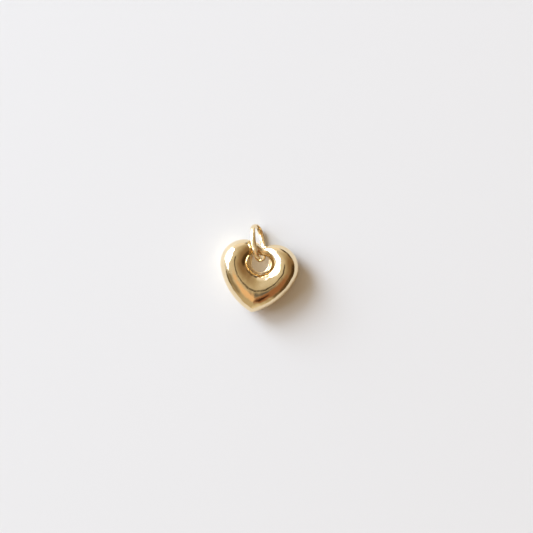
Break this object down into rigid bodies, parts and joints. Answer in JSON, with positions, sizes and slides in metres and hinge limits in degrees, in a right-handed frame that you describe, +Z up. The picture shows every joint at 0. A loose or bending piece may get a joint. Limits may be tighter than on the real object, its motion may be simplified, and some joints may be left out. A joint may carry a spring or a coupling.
{
  "type": "puffy heart pendant",
  "caption": "Hollow puffed heart pendant with a heart-shaped opening near the cleft and a loose oval flat-band bail ring round its neck.",
  "frame": {"origin": "on the table that the pendant lies on, under the middle of the whole pendant's box", "axes": "+Z up, out of the heart's front; +Y from the heart's tip toward the cleft and the bail ring; +X to the right as the front is seen with the tip down"},
  "size_m": [0.0132, 0.0149, 0.0046],
  "materials": {
    "heart_metal": "polished",
    "ring_metal": "polished"
  },
  "bodies": {
    "heart": {"front_shell": "heart_metal", "back_shell": "heart_metal"},
    "bail": {"bail_ring": "ring_metal"}
  },
  "joints": [
    {"name": "bail_swing", "type": "hinge", "parent": "heart", "child": "bail", "pos_m": [-0.00057, 0.00329, 0.00252], "axis": [0.8642, 0.3437, 0.3675], "range_deg": [-90, 130]}
  ]
}
